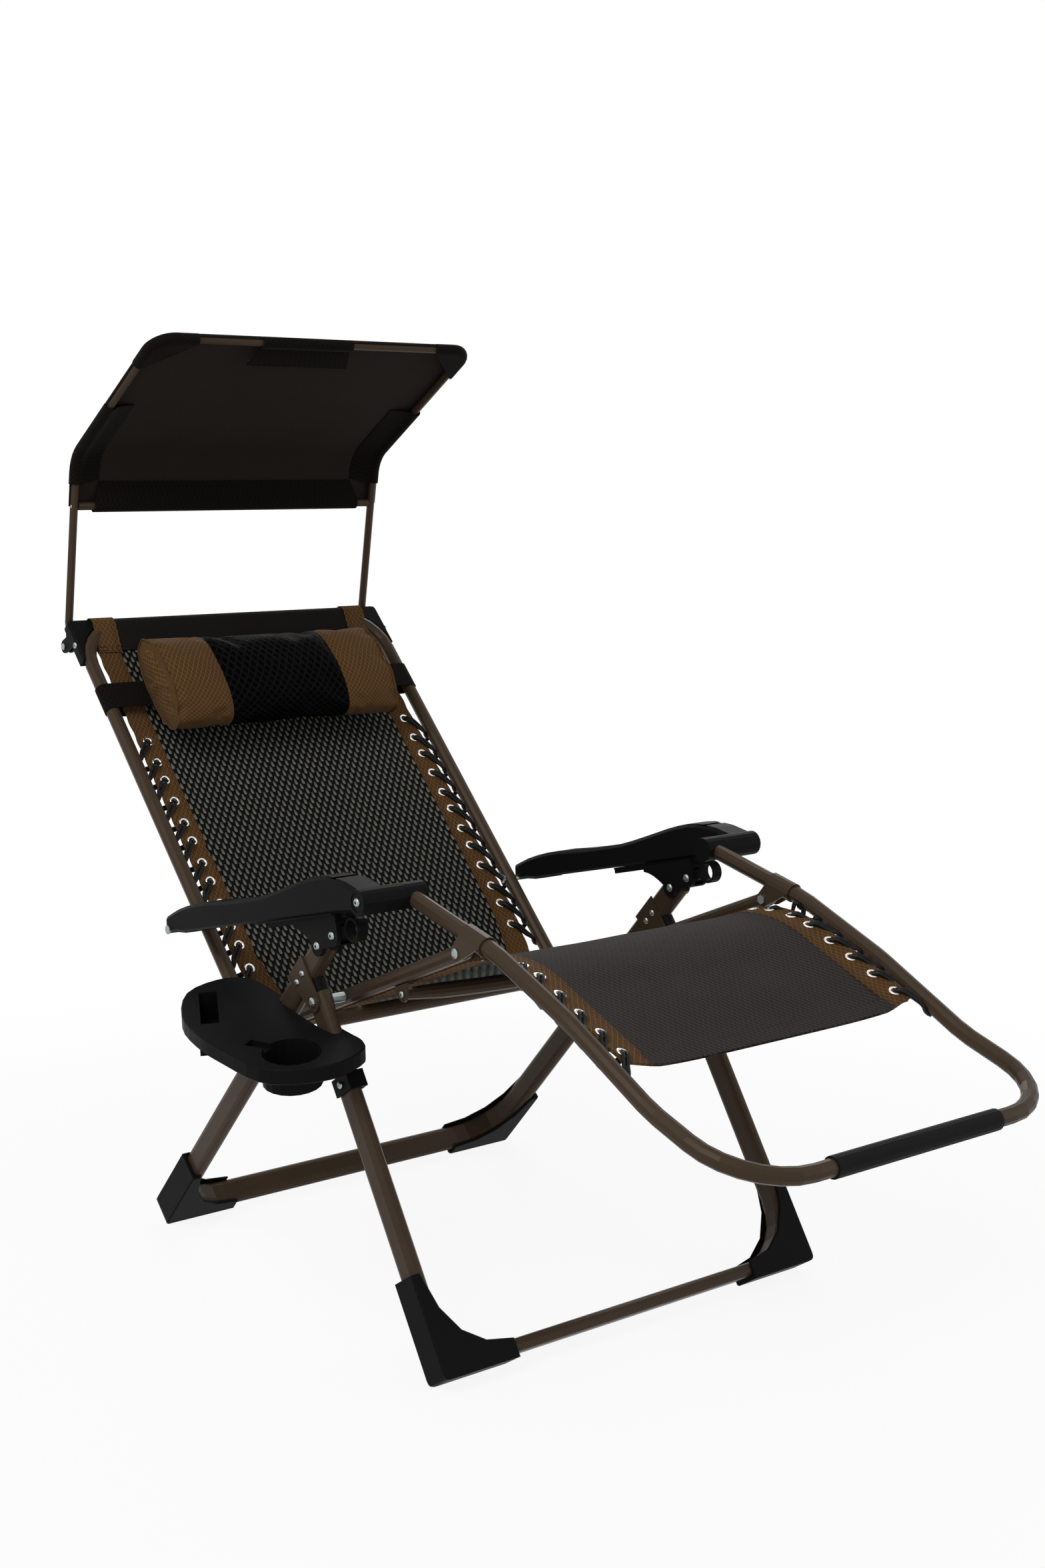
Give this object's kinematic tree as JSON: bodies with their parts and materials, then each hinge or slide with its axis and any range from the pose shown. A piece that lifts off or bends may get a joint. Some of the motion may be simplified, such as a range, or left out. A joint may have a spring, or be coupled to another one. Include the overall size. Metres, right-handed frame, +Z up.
{
  "type": "sun lounger with canopy",
  "caption": "Folding reclining lounger: a laced sling on bent tubes, with a pillow, locking armrests, a side tray and a tilting canopy.",
  "frame": {"origin": "on the floor under the middle of the whole lounger's box", "axes": "+Z up, +Y towards the head end, +X towards the side without the tray"},
  "size_m": [0.8172, 1.6176, 1.3528],
  "materials": {
    "bronze_frame": "satin",
    "black_plastic": "satin",
    "zinc": "satin",
    "mesh_cloth": "matte",
    "leg_rest_cloth": "matte",
    "pillow_cloth": "matte",
    "canopy_cloth": "matte",
    "elastic_cord": "matte",
    "grip_rubber": "matte"
  },
  "bodies": {
    "rear_frame": {"rear_leg_frame": "bronze_frame", "rear_foot_left": "black_plastic", "rear_foot_right": "black_plastic", "outer_leg_plate_left": "bronze_frame", "outer_leg_plate_right": "bronze_frame", "inner_leg_plate_left": "bronze_frame", "inner_leg_plate_right": "bronze_frame", "pivot_bolt_left": "zinc", "pivot_bolt_right": "zinc", "leg_cross_tube": "bronze_frame", "cup_tray": "black_plastic", "tray_front_hook": "black_plastic", "tray_rear_clip": "black_plastic"},
    "front_frame": {"front_leg_frame": "bronze_frame", "front_foot_left": "black_plastic", "front_foot_right": "black_plastic", "leg_end_plug_left": "black_plastic", "leg_end_plug_right": "black_plastic"},
    "seat": {"seat_rail_left": "bronze_frame", "seat_rail_right": "bronze_frame", "rail_tab_left": "bronze_frame", "rail_tab_right": "bronze_frame", "bowed_cross_bar": "bronze_frame", "seat_sling": "mesh_cloth"},
    "backrest": {"back_frame": "bronze_frame", "corner_cap_left": "black_plastic", "corner_cap_right": "black_plastic", "back_sling": "mesh_cloth", "pillow": "pillow_cloth", "pillow_strap": "elastic_cord", "back_lacing_left": "elastic_cord", "back_lacing_right": "elastic_cord", "recline_bolt_left": "zinc", "recline_bolt_right": "zinc", "canopy_bolt_left": "zinc", "canopy_bolt_right": "zinc"},
    "leg_rest": {"leg_rest_frame": "bronze_frame", "clamp_bracket_left": "bronze_frame", "clamp_bracket_right": "bronze_frame", "clamp_bolt_left": "zinc", "clamp_bolt_right": "zinc", "barrel_sleeve_left": "black_plastic", "barrel_sleeve_right": "black_plastic", "foot_grip": "grip_rubber", "leg_rest_sling": "leg_rest_cloth", "leg_rest_lacing_left": "elastic_cord", "leg_rest_lacing_right": "elastic_cord"},
    "armrests": {"armrest_left": "black_plastic", "armrest_right": "black_plastic", "armrest_track_left": "black_plastic", "armrest_track_right": "black_plastic", "armrest_bolt_left": "zinc", "armrest_bolt_right": "zinc"},
    "lock_left": {"lock_housing_left": "black_plastic"},
    "lock_right": {"lock_housing_right": "black_plastic"},
    "lever_left": {"lock_lever_left": "black_plastic"},
    "lever_right": {"lock_lever_right": "black_plastic"},
    "canopy": {"canopy_frame": "bronze_frame", "canopy_cross_bar": "bronze_frame", "canopy_cover": "canopy_cloth"}
  },
  "joints": [
    {"name": "recline", "type": "hinge", "parent": "rear_frame", "child": "seat", "pos_m": [0.0571, -0.01499, 0.446], "axis": [1, 0, 0], "range_deg": [-17, 20]},
    {"name": "back_hinge", "type": "hinge", "parent": "seat", "child": "backrest", "pos_m": [0.0571, 0.21763, 0.34702], "axis": [1, 0, 0], "range_deg": [-3.6, 4.2]},
    {"name": "knee_hinge", "type": "hinge", "parent": "seat", "child": "leg_rest", "pos_m": [0.0571, -0.27889, 0.55829], "axis": [1, 0, 0], "range_deg": [-7.1, 8.2]},
    {"name": "armrest_hinge", "type": "hinge", "parent": "backrest", "child": "armrests", "pos_m": [0.0571, 0.35163, 0.48102], "axis": [1, 0, 0], "range_deg": [-5, 4.3]},
    {"name": "lock_hinge_left", "type": "hinge", "parent": "rear_frame", "child": "lock_left", "pos_m": [0.0571, -0.03085, 0.52688], "axis": [1, 0, 0], "range_deg": [-16.6, 19.5]},
    {"name": "lock_hinge_right", "type": "hinge", "parent": "rear_frame", "child": "lock_right", "pos_m": [0.0571, -0.03085, 0.52688], "axis": [1, 0, 0], "range_deg": [-16.6, 19.5]},
    {"name": "front_leg_fold", "type": "hinge", "parent": "rear_frame", "child": "front_frame", "pos_m": [0.0571, -0.01499, 0.446], "axis": [1, 0, 0], "range_deg": [0, 70]},
    {"name": "canopy_tilt", "type": "hinge", "parent": "backrest", "child": "canopy", "pos_m": [0.0571, 0.79816, 0.86392], "axis": [1, 0, 0], "range_deg": [-100, 0]},
    {"name": "lever_pull_left", "type": "hinge", "parent": "lock_left", "child": "lever_left", "pos_m": [0.0571, -0.06782, 0.54785], "axis": [1, 0, 0], "range_deg": [0, 12], "stiffness_Nm_per_rad": 0.4, "springref_deg": -11.46},
    {"name": "lever_pull_right", "type": "hinge", "parent": "lock_right", "child": "lever_right", "pos_m": [0.0571, -0.06782, 0.54785], "axis": [1, 0, 0], "range_deg": [0, 12], "stiffness_Nm_per_rad": 0.4, "springref_deg": -11.46}
  ],
  "couplings": [
    {"joint": "back_hinge", "follows": "recline", "ratio": 0.199},
    {"joint": "knee_hinge", "follows": "recline", "ratio": 0.3992},
    {"joint": "armrest_hinge", "follows": "recline", "ratio": -0.2412},
    {"joint": "lock_hinge_left", "follows": "recline", "ratio": 0.9578},
    {"joint": "lock_hinge_right", "follows": "recline", "ratio": 0.9578}
  ]
}
